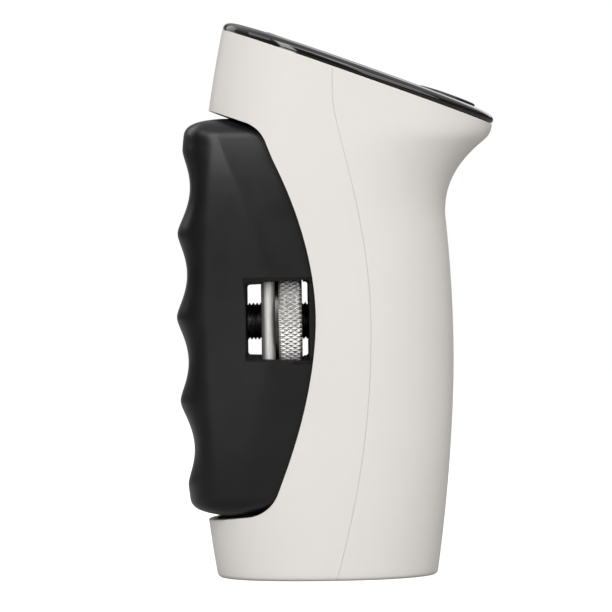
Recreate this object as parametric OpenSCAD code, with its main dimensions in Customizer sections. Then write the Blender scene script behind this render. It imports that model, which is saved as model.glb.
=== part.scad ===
// Digital hand-grip dynamometer. The finger handle slides out of the body on two guide pins. A knurled
// wheel on a fixed threaded rod sets how far, and the rod passes the grip force to a load cell.
// Axes: +X palm side, -X finger side, +Y far side, +Z up. Origin: middle of the base, on the table.

/* [Body] */
// Half of the body's width
body_half_y = 21.5; // [21:0.5:23]
// Wall thickness of the two shells
wall = 2.2; // [2:0.1:2.4]
// Slope of the display end
slope = 20; // [19:0.5:21]
// Edge radius round the base
foot_r = 1; // [0.5:0.1:1.2]

/* [Palm side outline] */
// Furthest reach of the palm bulge
bulge_x = 31.9; // [31:0.1:33]
// Height of the palm bulge
bulge_z = 61; // [55:1:65]
// Reach at the waist under the head
waist_x = 30.1; // [29:0.1:31]
// Height of the waist
waist_z = 97; // [95:1:98]
// Reach of the tip of the head
tip_x = 43; // [42.7:0.1:43.4]

/* [Handle] */
// Lowest point of the handle
grip_z0 = 16.9; // [16.8:0.1:17.4]
// Highest point of the handle
grip_z1 = 123.4; // [122.8:0.1:123.4]
// Spacing of the finger ridges
finger_pitch = 22.7; // [22.3:0.1:22.9]
// Depth of the finger grooves
finger_depth = 2.85; // [2.5:0.05:3]
// Wall thickness of the handle halves
grip_wall = 1.8; // [1.6:0.1:2]
// How far the handle slides out
travel = 14; // [10:1:14]

/* [Adjuster] */
// Height of the threaded rod
rod_z = 68.8; // [68:0.1:70]
// Outer diameter of the rod's thread
rod_d = 10; // [9:0.5:10]
// Diameter of the knurled wheel
wheel_d = 34.8; // [33:0.2:35]
// Width of the knurled wheel
wheel_w = 6.2; // [6:0.1:6.3]
// Thickness of the steel thrust bar
bar_t = 3.7; // [3:0.1:3.7]
// Diameter of the guide pins
pin_d = 6; // [5:0.5:6]
// Distance of each guide pin from the rod
pin_offset = 36; // [35:0.5:36]

/* [Controls and power] */
// Diameter of the power button
button_d = 16; // [14:0.5:16]
// Diameter of each battery cell
cell_d = 10.5; // [10:0.1:10.5]
// Length of each battery cell
cell_l = 44.5; // [40:0.5:44.5]

/* [Hidden] */

$fn = 64;
eps = 0.01;

white = [0.90, 0.88, 0.86];
black = [0.12, 0.12, 0.13];
gloss = [0.05, 0.05, 0.06];
steel = [0.70, 0.69, 0.68];
brass = [0.75, 0.62, 0.32];
board_green = [0.10, 0.32, 0.20];
nylon = [0.20, 0.20, 0.21];

// The slanted top: its height over any x, and the widest station of the body
ref_x = 7;
ref_z = 134.1;
mid_x = -3;
front_n = 2.3;
palm_n = 2.15;
function top_z(x) = ref_z - tan(slope) * (x - ref_x);

// Outlines in the middle plane: finger side and palm side
tip_z = 121;
flare_z = 117.4;
front_reach = 38;
front_curve = 0.00128;
tip_drop = 1.5;
function front_x(z) = -front_reach + front_curve * pow(z - 65.3, 2);
function flare(z) =
    waist_x + (tip_x - tip_drop - waist_x) * pow((z - waist_z) / (flare_z - waist_z), 2.36);
function palm_x(z) =
    z < bulge_z ? bulge_x - 5.1 * pow((bulge_z - z) / bulge_z, 1.8) :
    z < waist_z ? bulge_x - (bulge_x - waist_x) * pow((z - bulge_z) / (waist_z - bulge_z), 2) :
    z < flare_z ? flare(z) :
    z < tip_z ? tip_x - tip_drop * pow((tip_z - z) / (tip_z - flare_z), 2) : tip_x;

// Half width of the body at (x, z), for a surface lying inset inside the outside one
function half_y(x, z, inset = 0) =
    let (reach = x < mid_x ? mid_x - front_x(z) : palm_x(z) - mid_x)
    let (n = x < mid_x ? front_n : palm_n)
    let (u = min(1, abs(x - mid_x) / (reach - inset)))
    (body_half_y - inset) * pow(1 - pow(u, n), 1 / n);

// A point of ring v (0 base, 1 slanted top) at angle a. Rings tilt steadily up to the slanted top,
// so x is found by a few rounds of substitution.
function ring_x(v, a, inset, z0, lift, x = 0, rounds = 10) =
    rounds == 0 ? x :
    let (z = z0 + v * (top_z(x) + lift - z0))
    let (c = cos(a))
    let (reach = c < 0 ? mid_x - front_x(z) : palm_x(z) - mid_x)
    let (n = c < 0 ? front_n : palm_n)
    ring_x(v, a, inset, z0, lift, mid_x + sign(c) * (reach - inset) * pow(abs(c), 2 / n), rounds - 1);
function ring_y(a, inset) =
    let (n = cos(a) < 0 ? front_n : palm_n)
    sign(sin(a)) * (body_half_y - inset) * pow(abs(sin(a)), 2 / n);
function ring(v, inset, z0, lift, count) = [
    for (i = [0 : count - 1])
        let (a = 360 * i / count)
        let (x = ring_x(v, a, inset, z0, lift))
        [x, ring_y(a, inset), z0 + v * (top_z(x) + lift - z0)]
];

// Closed solid through a list of rings of equal length
module loft(rings) {
    n = len(rings[0]);
    m = len(rings);
    points = [for (r = rings) each r];
    sides = [
        for (k = [0 : m - 2], i = [0 : n - 1])
            let (j = (i + 1) % n)
            let (low = k * n)
            let (high = low + n)
            each [[low + i, high + i, high + j], [low + i, high + j, low + j]]
    ];
    bottom = [for (i = [0 : n - 1]) i];
    top = [for (i = [n - 1 : -1 : 0]) (m - 1) * n + i];
    polyhedron(points, concat([bottom], sides, [top]));
}

body_count = 60;
body_levels = 38;
foot_v = foot_r / ref_z;
module body_solid() {
    foot = [
        for (a = [0, 30, 60]) ring(foot_v * (1 - cos(a)), foot_r * (1 - sin(a)), 0, 0, body_count)
    ];
    walls = [
        for (k = [0 : body_levels]) ring(foot_v + k / body_levels * (1 - foot_v), 0, 0, 0, body_count)
    ];
    loft(concat(foot, walls));
}

cavity_count = 40;
cavity_levels = 20;
module body_cavity() {
    loft([for (k = [0 : cavity_levels]) ring(k / cavity_levels, wall, wall, 2, cavity_count)]);
}

// Recess outline: a long curve, with a rounded corner onto the sloping lip and the foot's rim
recess_x0 = -5.2;
recess_z0 = 70;
function recess_x(z) = recess_x0 -
    (z > recess_z0 ? 0.0093 * pow(z - recess_z0, 1.89) : 0.0106 * pow(recess_z0 - z, 1.8));
lip_corner = [-19.5, 120.7];
rim_corner = [-18, 17.5];
function unit(v) = v / norm(v);
function fillet(a, p, b, r, steps = 8) =
    let (u = unit(a - p))
    let (w = unit(b - p))
    let (half = acos(u * w) / 2)
    let (c = p + unit(u + w) * r / sin(half))
    let (s = p + u * r / tan(half) - c)
    let (turn = (180 - 2 * half) * sign(u.x * w.y - u.y * w.x))
    [
        for (i = [0 : steps])
            let (t = -turn * i / steps)
            c + [s.x * cos(t) - s.y * sin(t), s.x * sin(t) + s.y * cos(t)]
    ];
lip_corner_r = 9;
rim_corner_r = 10;
recess_z = [28, 112];
far_left = -60;
lip_end = [far_left, lip_corner.y - tan(slope) * (far_left - lip_corner.x)];
rim_end = [far_left, rim_corner.y - 5];
recess_outline = concat(
    [lip_end],
    fillet(lip_end, lip_corner, [recess_x(recess_z[1]), recess_z[1]], lip_corner_r),
    [for (z = [recess_z[1] : -4 : recess_z[0]]) [recess_x(z), z]],
    fillet([recess_x(recess_z[0]), recess_z[0]], rim_corner, rim_end, rim_corner_r),
    [rim_end]
);

module along_y(width) {
    rotate([90, 0, 0]) linear_extrude(width, center = true) children();
}
module along_x(x0, x1, y, z, d, sides = 64) {
    translate([x0, y, z]) rotate([0, 90, 0]) cylinder(d = d, h = x1 - x0, $fn = sides);
}
module block(x, y, z) {
    translate([x[0], y[0], z[0]]) cube([x[1] - x[0], y[1] - y[0], z[1] - z[0]]);
}

// Parting line between the shells, seen from the side
part_x = 9.4;
part_z = 68;
part_rise = 60;
function parting_x(z) =
    z < part_z ? part_x - 0.00218 * pow(part_z - z, 2) :
    z < part_z + part_rise ? part_x * pow(1 - pow((z - part_z) / part_rise, 2), 1.35) : 0;
module finger_side(gap) {
    along_y(60) polygon(concat(
        [[-70, -5]],
        [for (z = [-5, each [0 : 4 : 128], 170]) [parting_x(z) - gap, z]],
        [[-70, 170]]
    ));
}

// Blocks that tie the two shells together: one low in the middle, two high at the sides. Each
// is split, with its front part on the finger-side shell and its back part on the palm-side shell.
tie_gap = 0.7;
low_tie_front = [-3.6, -tie_gap];
low_tie_back = [4.2, 7];
high_tie_front = [-5, -tie_gap];
high_tie_back = [tie_gap, 4];
low_tie_z = [1, 15.8];
low_tie_half_y = 6;
low_screw_z = 12;
high_tie_z = [124.5, 131.5];
high_tie_y = [12, 20];
high_screw_y = 15;
high_screw_z = 128;
shell_screw_d = 2.5;
module ties(low_x, high_x) {
    block(low_x, [-low_tie_half_y, low_tie_half_y], low_tie_z);
    block(high_x, high_tie_y, high_tie_z);
    block(high_x, [-high_tie_y[1], -high_tie_y[0]], high_tie_z);
}
module tie_holes(d) {
    along_x(low_tie_front[0] - 2, low_tie_back[1] + 1, 0, low_screw_z, d);
    for (s = [-1, 1])
        along_x(high_tie_front[0] - 2, high_tie_back[1] + 1, s * high_screw_y, high_screw_z, d);
}

// Posts that carry the chassis, ending inside the palm wall
module posts() {
    intersection() {
        loft([for (k = [0 : 10]) ring(k / 10, wall / 3, wall / 3, 0, 28)]);
        for (p = post_places) along_x(chassis_x[1], 40, p[0], p[1], post_d);
    }
}

// Battery bay, reached through a door in the base
cell_x = 15.3;
cell_y = 5.6;
cell_z = 5;
door_x = [9.8, 20.8];
door_half_y = 11;
door_gap = 0.3;
part_gap = 0.06;

module front_shell() {
    color(white) intersection() {
        difference() {
            union() {
                difference() {
                    body_solid();
                    body_cavity();
                }
                ties(low_tie_front, high_tie_front);
            }
            along_y(60) polygon(recess_outline);
            tie_holes(shell_screw_d);
        }
        finger_side(part_gap);
    }
}
module rear_shell() {
    color(white) difference() {
        union() {
            difference() {
                body_solid();
                body_cavity();
            }
            ties(low_tie_back, high_tie_back);
            posts();
        }
        finger_side(-part_gap);
        tie_holes(shell_screw_d + 0.7);
        for (p = post_places) along_x(0, post_hole_x, p[0], p[1], post_screw_d);
        block(door_x, [-door_half_y, door_half_y], [-1, wall + 1]);
    }
}
module screw_x(x_head, x_end, y, z, d) {
    dir = sign(x_end - x_head);
    head = 0.75 * d;
    along_x(min(x_head, x_end), max(x_head, x_end), y, z, d);
    difference() {
        along_x(min(x_head, x_head - dir * head), max(x_head, x_head - dir * head), y, z, 1.8 * d);
        translate([x_head - dir * head, y, z]) rotate([0, 90, 0])
            cylinder(d = 0.9 * d, h = head, center = true, $fn = 6);
    }
}
module shell_screws() {
    color(steel) {
        screw_x(low_tie_back[1], low_tie_front[0] + 0.6, 0, low_screw_z, shell_screw_d);
        for (s = [-1, 1])
            screw_x(high_tie_back[1], high_tie_front[0] + 0.5, s * high_screw_y, high_screw_z,
                shell_screw_d);
    }
}

// Chassis: a plate across the body with two towers that hold the guide bushes
chassis_x = [1, 4.5];
chassis_half_y = 14;
chassis_z = [20, 119];
tower_x = -10;
bush_d = 8;
flange = 1;
pad_z = [109.5, 118.5];
lug_half_y = 9;
lug_z = [44, 50];
post_d = 5.6;
post_screw_d = 2.5;
post_hole_x = 16;
post_places = [for (z = [58, 90], y = [-11.2, 11.2]) [y, z]];
cell_beam_x = [11.5, 22.5];
cell_beam_half_y = 6.5;
cell_beam_z = [61, 118];
cell_screw_z = 114;
cell_screw_y = 3.7;
cell_screw_d = 3;
pin_heights = [rod_z - pin_offset, rod_z + pin_offset];
module chassis() {
    color(nylon) difference() {
        union() {
            block(chassis_x, [-chassis_half_y, chassis_half_y], chassis_z);
            for (z = pin_heights) along_x(tower_x, chassis_x[0], 0, z, bush_d + 4);
            block([chassis_x[1] - eps, cell_beam_x[0]], [-cell_beam_half_y, cell_beam_half_y], pad_z);
            block([chassis_x[1] - eps, holder_x[0]], [-lug_half_y, lug_half_y], lug_z);
        }
        for (z = pin_heights) {
            along_x(tower_x - 1, chassis_x[0], 0, z, bush_d);
            along_x(chassis_x[0] - 1, chassis_x[1] + 1, 0, z, pin_d + 1);
        }
        along_x(chassis_x[0] - 1, chassis_x[1] + 1, 0, rod_z, rod_d + 4);
        for (p = post_places) along_x(chassis_x[0] - 1, chassis_x[1] + 1, p[0], p[1], post_screw_d + 0.7);
        for (s = [-1, 1])
            along_x(chassis_x[0] + 1, cell_beam_x[0] + 1, s * cell_screw_y, cell_screw_z, cell_screw_d);
    }
}
module chassis_screws() {
    color(steel) for (p = post_places) screw_x(chassis_x[0], post_hole_x - 2, p[0], p[1], post_screw_d);
}
module guide_bush(z) {
    color(brass) difference() {
        union() {
            along_x(tower_x - flange, chassis_x[0], 0, z, bush_d);
            along_x(tower_x - flange, tower_x, 0, z, bush_d + 3);
        }
        along_x(tower_x - flange - 1, chassis_x[0] + 1, 0, z, pin_d + 0.08);
    }
}
module guide_bush_upper() { guide_bush(pin_heights[1]); }
module guide_bush_lower() { guide_bush(pin_heights[0]); }

// Load cell: an upright beam with two joined holes that bends a little as the rod pushes its lower end
gauge_z = [84, 100];
gauge_hole_d = 8;
gauge_slot = 3;
gauge_t = 0.3;
gauge_half = [3, 3.5];
module load_cell() {
    x = (cell_beam_x[0] + cell_beam_x[1]) / 2;
    color([0.78, 0.79, 0.80]) difference() {
        block(cell_beam_x, [-cell_beam_half_y, cell_beam_half_y], cell_beam_z);
        for (z = gauge_z) translate([x, 0, z]) rotate([90, 0, 0])
            cylinder(d = gauge_hole_d, h = 2 * cell_beam_half_y + 2, center = true);
        block([x - gauge_slot / 2, x + gauge_slot / 2], [-cell_beam_half_y - 1, cell_beam_half_y + 1],
            gauge_z);
        along_x(cell_beam_x[0] - 1, cell_beam_x[1] + 1, 0, rod_z, rod_d);
        for (s = [-1, 1])
            along_x(cell_beam_x[0] - 1, cell_beam_x[1] + 1, s * cell_screw_y, cell_screw_z, cell_screw_d);
    }
}
module load_cell_screws() {
    color(steel) for (s = [-1, 1]) screw_x(cell_beam_x[1], 6, s * cell_screw_y, cell_screw_z, cell_screw_d);
}
module strain_gauges() {
    color([0.85, 0.55, 0.15])
        for (z = gauge_z, x = [cell_beam_x[0] - gauge_t, cell_beam_x[1]])
            block([x, x + gauge_t], [-gauge_half[0], gauge_half[0]],
                [z - gauge_half[1], z + gauge_half[1]]);
}

// Leads from the gauges and from the cells up to the board
lead_d = 1.2;
lead_red = [0.75, 0.12, 0.10];
gauge_lead_y = 9;
gauge_lead_z = [100, 122.7];
battery_lead_x = 13;
battery_lead_y = -7.5;
battery_lead_z = [53, 126.4];
module upright(x, y, z) {
    translate([x, y, z[0]]) cylinder(d = lead_d, h = z[1] - z[0]);
}
module gauge_lead() {
    color(lead_red) {
        upright(cell_beam_x[1] + 0.9, gauge_lead_y, gauge_lead_z);
        block([cell_beam_x[1] + gauge_t, cell_beam_x[1] + gauge_t + 0.5], [1, gauge_lead_y],
            [gauge_z[1] + 0.2, gauge_z[1] + 1.2]);
    }
}
module battery_lead() {
    color(lead_red) upright(battery_lead_x, battery_lead_y, battery_lead_z);
}

// Threaded rod, fixed to the load cell
rod_x = [-32.5, cell_beam_x[1]];
nut_t = 5;
nut_d = 18.4;
module threaded_rod() {
    color([0.10, 0.10, 0.11]) along_x(rod_x[0], rod_x[1], 0, rod_z, rod_d);
}
module jam_nut() {
    color(steel) difference() {
        along_x(cell_beam_x[0] - nut_t, cell_beam_x[0], 0, rod_z, nut_d, 6);
        along_x(cell_beam_x[0] - nut_t - 1, cell_beam_x[0] + 1, 0, rod_z, rod_d);
    }
}

// Handle: two halves split in the middle plane. A ring of its outline at height z: open back, flat
// sides that taper inwards behind the recess line, a crease onto a slightly sloping plane, and then
// a rounded finger side, where the finger grooves come in.
ridge_z = rod_z + 1.35;
groove_soft = 0.22;
end_r = 5;
end_drop = 11.5;
end_narrowing = 6;
end_flat = 4.5;
side_taper = 0.1;
side_slope = 0.155;
corner_length = 9;
nose_lead = 0.6;
nose_tip = 0.7;
function ridge_x(z) = -42.7 + 0.00113 * pow(z - 72, 2);
function groove(z) =
    abs(z - ridge_z) > 2 * finger_pitch ? 0 :
    let (s = sin(180 * (z - ridge_z) / finger_pitch))
    (sqrt(s * s + groove_soft * groove_soft) - groove_soft) /
        (sqrt(1 + groove_soft * groove_soft) - groove_soft);
function end_inset(z) =
    let (d = min(z - grip_z0, grip_z1 - z))
    d >= end_r ? 0 : 1 - sqrt(1 - pow(1 - max(d, 0) / end_r, 2));
function side_y(z) = half_y(recess_x(z), z, wall) - 0.5;
function crease_x(z) =
    recess_x(z) - 12.6 - 0.025 * (z - 64) + 3 * pow(abs(z - recess_z0) / 50, 4);
function bezier(a, b, c, d, t) =
    pow(1 - t, 3) * a + 3 * t * pow(1 - t, 2) * b + 3 * t * t * (1 - t) * c + pow(t, 3) * d;
nose_steps = 9;
function grip_half_ring(z, inset) =
    let (e = inset > 0 ? 0 : end_inset(z))
    let (y = side_y(z) - inset - end_narrowing * e)
    let (back = recess_x(z) + travel + 1 + inset)
    let (mouth = recess_x(z))
    let (depth = finger_depth * (inset > 0 ? 1 : groove(z)))
    let (tip = [ridge_x(z) + inset + end_drop * pow(e, 1.5), 0])
    let (crease = max(crease_x(z), tip.x + end_flat))
    let (start_x = min(tip.x + corner_length, crease - 1.5))
    let (start = [start_x, y - side_slope * (crease - start_x)])
    let (lead = start - nose_lead * (start_x - tip.x) * [1, side_slope])
    let (last = tip + [0, nose_tip * start.y])
    concat(
        [[back, y - side_taper * (back - mouth), z], [mouth, y, z], [crease, y, z]],
        [
            for (i = [0 : nose_steps])
                let (t = i / nose_steps)
                let (p = bezier(start, lead, last, tip, t))
                [p.x + depth * t * t * (3 - 2 * t), p.y, z]
        ]
    );
function grip_ring(z, inset) =
    let (h = grip_half_ring(z, inset))
    let (n = len(h))
    concat(h, [for (i = [n - 2 : -1 : 0]) [h[i].x, -h[i].y, z]]);
grip_levels = concat(
    [for (d = [0, 0.1, 0.3, 0.6, 1, 1.6, 2.4, 3.5]) grip_z0 + d],
    [for (z = [grip_z0 + 5.3 : 2.8 : grip_z1 - 4.6]) z],
    [for (d = [3.5, 2.4, 1.6, 1, 0.6, 0.3, 0.1, 0]) grip_z1 - d]
);
end_wall = 3;
hollow_count = 14;
hollow_levels = [
    for (k = [0 : hollow_count])
        grip_z0 + end_wall + k / hollow_count * (grip_z1 - grip_z0 - 2 * end_wall)
];

window = [[-23.9, 79.5], [-6.9, 80.3], [-6.9, 58.4], [-23.9, 58.9]];
window_mid = [[-23.5, 78.6], [-7.4, 79.3], [-7.4, 59.4], [-23.5, 59.9]];
tunnel_x = [-25.4, -5.4];
tunnel_half_y = 20;
tunnel_z = [56.6, 82.2];
rib_x = [-24, -16];
rib_y = [13, 16.5];
rib_z = [33, 90.6];
rib_length = 14;
bar_x0 = -19.75;
bar_x = [bar_x0, bar_x0 + bar_t];
bar_z = [rod_z - 18.8, rod_z + 18.8];
bar_half_y = 14.5;
washer_t = 0.9;
washer_d = 30;
thrust_gap = 0.05;
wheel_x0 = bar_x[1] + washer_t + thrust_gap;
wheel_x = [wheel_x0, wheel_x0 + wheel_w];
rod_hole_d = rod_d + 0.8;
rod_hole_x = [-30, 0];
module window_cut() {
    for (s = [-1, 1]) hull() {
        along_y(0.2) polygon(window_mid);
        translate([0, s * 19, 0]) along_y(0.2) polygon(window);
    }
}
module adjuster_room() {
    along_x(bar_x[1] + 0.1, wheel_x[1] + 0.3, 0, rod_z, wheel_d + 1.2);
    block([bar_x[0] - 0.1, bar_x[1] + 0.2], [-bar_half_y - 0.3, bar_half_y + 0.3], bar_z + [-0.2, 0.2]);
    along_x(rod_hole_x[0], rod_hole_x[1], 0, rod_z, rod_hole_d);
}
handle_screw_places = [[-32.5, 59.4], [-32.5, 81.8], [-27, 115.5], [-27, 23]];
handle_screw_d = 2.2;
handle_head_d = 4.2;
handle_head_y = 9;
module across(x, z, y0, y1, d, sides = 64) {
    translate([x, y1, z]) rotate([90, 0, 0]) cylinder(d = d, h = y1 - y0, $fn = sides);
}
half_gap = 0.03;
// side is -1 for the near half and 1 for the far half
module handle_half(side) {
    difference() {
        intersection() {
            loft([for (z = grip_levels) grip_ring(z, 0)]);
            union() {
                difference() {
                    block([-50, 30], [-30, 30], [0, 140]);
                    loft([for (z = hollow_levels) grip_ring(z, grip_wall)]);
                }
                block(tunnel_x, [-tunnel_half_y, tunnel_half_y], tunnel_z);
                for (z = rib_z) {
                    block(rib_x, rib_y, [z, z + rib_length]);
                    block(rib_x, [-rib_y[1], -rib_y[0]], [z, z + rib_length]);
                }
                for (p = handle_screw_places) across(p[0], p[1], -30, 30, handle_head_d + 1);
            }
        }
        window_cut();
        adjuster_room();
        for (p = handle_screw_places) {
            across(p[0], p[1], -9, 30, handle_screw_d);
            across(p[0], p[1], handle_head_y, 30, handle_head_d + 0.4);
        }
        block([-60, 40], side < 0 ? [-half_gap, 40] : [-40, half_gap], [0, 150]);
    }
}
module handle_near() { color(black) handle_half(-1); }
module handle_far() { color(black) handle_half(1); }
module handle_screws() {
    color(steel) for (p = handle_screw_places) {
        across(p[0], p[1], -8, handle_head_y, handle_screw_d);
        difference() {
            across(p[0], p[1], handle_head_y, handle_head_y + 1.6, handle_head_d);
            across(p[0], p[1], handle_head_y + 0.6, handle_head_y + 2, 2, 6);
        }
    }
}

// Guide blocks inside the handle hold the pins and the ends of the thrust bar
block_x = [-28.5, -12.5];
block_half_y = 13;
block_depth = 28;
block_offset = 14.2;
pin_x = [-26, 9];
module guide_block(z0) {
    color(nylon) difference() {
        block(block_x, [-block_half_y, block_half_y], [z0, z0 + block_depth]);
        for (z = pin_heights) along_x(pin_x[0], block_x[1] + 1, 0, z, pin_d);
        adjuster_room();
    }
}
module guide_block_upper() { guide_block(rod_z + block_offset); }
module guide_block_lower() { guide_block(rod_z - block_offset - block_depth); }
module guide_pin(z) {
    color(steel) {
        along_x(pin_x[0], pin_x[1], 0, z, pin_d);
        translate([pin_x[1], 0, z]) rotate([0, 90, 0]) cylinder(d1 = pin_d, d2 = pin_d - 1.2, h = 0.6);
    }
}
module guide_pin_upper() { guide_pin(pin_heights[1]); }
module guide_pin_lower() { guide_pin(pin_heights[0]); }

// Adjuster: thrust bar with round edges, thrust washer and the knurled wheel
module thrust_bar() {
    x = (bar_x[0] + bar_x[1]) / 2;
    color(steel) difference() {
        union() {
            block(bar_x, [-bar_half_y + bar_t / 2, bar_half_y - bar_t / 2], bar_z);
            for (s = [-1, 1]) translate([x, s * (bar_half_y - bar_t / 2), bar_z[0]])
                cylinder(d = bar_t, h = bar_z[1] - bar_z[0]);
        }
        along_x(rod_hole_x[0], rod_hole_x[1], 0, rod_z, rod_hole_d);
    }
}
module thrust_washer() {
    color(brass) difference() {
        along_x(bar_x[1], bar_x[1] + washer_t, 0, rod_z, washer_d);
        along_x(rod_hole_x[0], rod_hole_x[1], 0, rod_z, rod_hole_d);
    }
}
wheel_chamfer = 0.55;
wheel_fit = 0.05;
module adjusting_wheel() {
    r = wheel_d / 2;
    color(steel) translate([wheel_x[0], 0, rod_z]) rotate([0, 90, 0]) rotate_extrude($fn = 96) polygon([
        [rod_d / 2 + wheel_fit, 0], [r - wheel_chamfer, 0], [r, wheel_chamfer],
        [r, wheel_w - wheel_chamfer], [r - wheel_chamfer, wheel_w], [rod_d / 2 + wheel_fit, wheel_w]
    ]);
}

// Display end. on_top() works in the slanted plane: x down the slope, z straight out of it.
module on_top() { translate([ref_x, 0, ref_z]) rotate([0, slope, 0]) children(); }
cover_outline = [for (p = ring(1, 0, 0, 0, 64)) [(p.x - ref_x) / cos(slope), p.y]];
// Heights of the cover's rings over the slope, each with its size against the lowest one
cover_centre = -6;
cover_rings = [
    [0, 1], [1.3, 1], [2, 0.985], [2.5, 0.96], [2.7, 0.93], [2.86, 0.88], [3.03, 0.8],
    [3.22, 0.65], [3.43, 0.45], [3.52, 0.25], [3.56, 0.1]
];
button_t = 24.3;
lens_t = [-27, 9];
lens_half_y = 12;
lens_z = [2.2, 3.2];
view_t = [-23.6, 7];
view_half_y = 10;
board_z = [-4.8, -3.2];
board_t = [-28, 28];
board_half_y = 11.5;
board_screw_d = 1.6;
buzzer_t = -12;
buzzer_d = 12;
buzzer_h = 4;
board_screw_places = [for (t = [-26.3, 12], y = [-8.6, 8.6]) [t, y]];
module rounded_block(t, half, z, r) {
    block([t[0] + r, t[1] - r], [-half, half], z);
    block(t, [-half + r, half - r], z);
    for (x = [t[0] + r, t[1] - r], s = [-1, 1]) translate([x, s * (half - r), z[0]])
        cylinder(r = r, h = z[1] - z[0]);
}
module top_cover() {
    color(gloss) on_top() difference() {
        union() {
            loft([for (k = cover_rings) [for (p = cover_outline)
                [cover_centre + (p.x - cover_centre) * k[1], p.y * k[1], k[0]]]]);
            for (p = board_screw_places) translate([p[0], p[1], board_z[1]])
                cylinder(d = 4.4, h = 0.5 - board_z[1]);
        }
        rounded_block(lens_t + [-0.1, 0.1], lens_half_y + 0.1, [lens_z[0], 5], 2);
        block(view_t, [-view_half_y, view_half_y], [-1, 3]);
        translate([button_t, 0, -1]) cylinder(d = button_d + 0.6, h = 6);
        for (p = board_screw_places) translate([p[0], p[1], board_z[0]])
            cylinder(d = board_screw_d, h = 6.2);
    }
}
module display_lens() {
    color([0.03, 0.03, 0.04]) on_top() rounded_block(lens_t, lens_half_y, lens_z, 2);
}
module lcd_module() {
    color([0.35, 0.40, 0.36]) on_top() {
        block(view_t + [0.2, -0.2], [-view_half_y + 0.2, view_half_y - 0.2], [board_z[1], lens_z[0]]);
    }
}
module main_board() {
    color(board_green) on_top() difference() {
        block(board_t, [-board_half_y, board_half_y], board_z);
        for (p = board_screw_places) translate([p[0], p[1], -6]) cylinder(d = 2, h = 4);
    }
}
module board_screws() {
    color(steel) on_top() for (p = board_screw_places) {
        translate([p[0], p[1], board_z[0]]) cylinder(d = board_screw_d, h = 6);
        translate([p[0], p[1], board_z[0] - 1.2]) cylinder(d = 3.2, h = 1.2);
    }
}
module buzzer() {
    color(black) on_top() difference() {
        translate([buzzer_t, 0, board_z[0] - buzzer_h]) cylinder(d = buzzer_d, h = buzzer_h);
        translate([buzzer_t, 0, board_z[0] - buzzer_h - 1]) cylinder(d = 2, h = 2);
    }
}
switch_top = -1.7;
button_side = 3.2;
button_rim = 3.65;
button_crown = 0.35;
module button_switch() {
    color(steel) on_top() {
        block([button_t - 2.2, button_t + 2.2], [-2.2, 2.2], [board_z[1], switch_top - 0.5]);
        translate([button_t, 0, switch_top - 0.5]) cylinder(d = 2.4, h = 0.5);
    }
}
module button_spring() {
    color(steel) on_top() translate([button_t, 0, board_z[1]]) difference() {
        cylinder(d = 13, h = switch_top - board_z[1]);
        translate([0, 0, -1]) cylinder(d = 10, h = 5);
    }
}
module power_button() {
    r = button_d / 2;
    color(black) on_top() translate([button_t, 0, 0]) rotate_extrude($fn = 96) polygon(concat(
        [[0, -0.9], [r + 1, -0.9], [r + 1, -0.05], [r, -0.05], [r, button_side], [r - 0.4, button_rim]],
        [for (k = [0 : 5]) let (u = 0.88 - 0.176 * k) [r * u, button_rim + button_crown * (1 - u * u)]]
    ));
}

// Battery parts
holder_x = [9.1, 16.5];
holder_half_y = 11.9;
holder_z = [4.6, 53];
cell_room_z = 50.3;
module battery_holder() {
    color(nylon) difference() {
        block(holder_x, [-holder_half_y, holder_half_y], holder_z);
        for (s = [-1, 1]) translate([cell_x, s * cell_y, 0]) cylinder(d = cell_d + 0.4, h = cell_room_z);
        block([0, 12], [-4, 4], [pin_heights[0] - 5, pin_heights[0] + 5]);
    }
}
module battery(s) {
    color([0.20, 0.36, 0.30]) translate([cell_x, s * cell_y, cell_z]) rotate([s < 0 ? 0 : 180, 0, 0])
        translate([0, 0, s < 0 ? 0 : -cell_l]) {
            cylinder(d = cell_d, h = cell_l - 1);
            translate([0, 0, cell_l - 1 - eps]) cylinder(d = 3.8, h = 1 + eps);
        }
}
module battery_near() { battery(-1); }
module battery_far() { battery(1); }
module battery_contacts() {
    color(steel) for (s = [-1, 1])
        block([cell_x - 3.5, cell_x + 3.5], [s * cell_y - 3.5, s * cell_y + 3.5],
            [cell_z + cell_l, cell_room_z]);
}
module battery_door() {
    x = door_x + [door_gap, -door_gap];
    y = door_half_y - door_gap;
    color(white) difference() {
        block(x, [-y, y], [0.3, 4]);
        block(x + [1.4, -1.4], [1.4 - y, y - 1.4], [2.2, 5]);
        for (k = [-1 : 1]) block([x[0] + 2, x[0] + 4], [k * 2.4 - 0.5, k * 2.4 + 0.5], [0, 0.8]);
    }
}
module door_contact() {
    color(steel) {
        block([cell_x - 2.5, cell_x + 2.5], [-8, 8], [2.2, 2.7]);
        for (s = [-1, 1]) translate([cell_x, s * cell_y, 2.7]) cylinder(d1 = 6, d2 = 4, h = cell_z - 2.7);
    }
}

front_shell();
rear_shell();
shell_screws();
chassis();
chassis_screws();
top_cover();
display_lens();
lcd_module();
main_board();
board_screws();
buzzer();
power_button();
button_spring();
button_switch();
battery_holder();
battery_near();
battery_far();
battery_contacts();
battery_door();
door_contact();
battery_lead();
load_cell();
load_cell_screws();
strain_gauges();
gauge_lead();
threaded_rod();
jam_nut();
guide_bush_upper();
guide_bush_lower();
handle_near();
handle_far();
handle_screws();
guide_block_upper();
guide_block_lower();
guide_pin_upper();
guide_pin_lower();
thrust_bar();
thrust_washer();
adjusting_wheel();
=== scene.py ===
import math

import bpy
import numpy as np
from mathutils import Matrix, Vector


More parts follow.
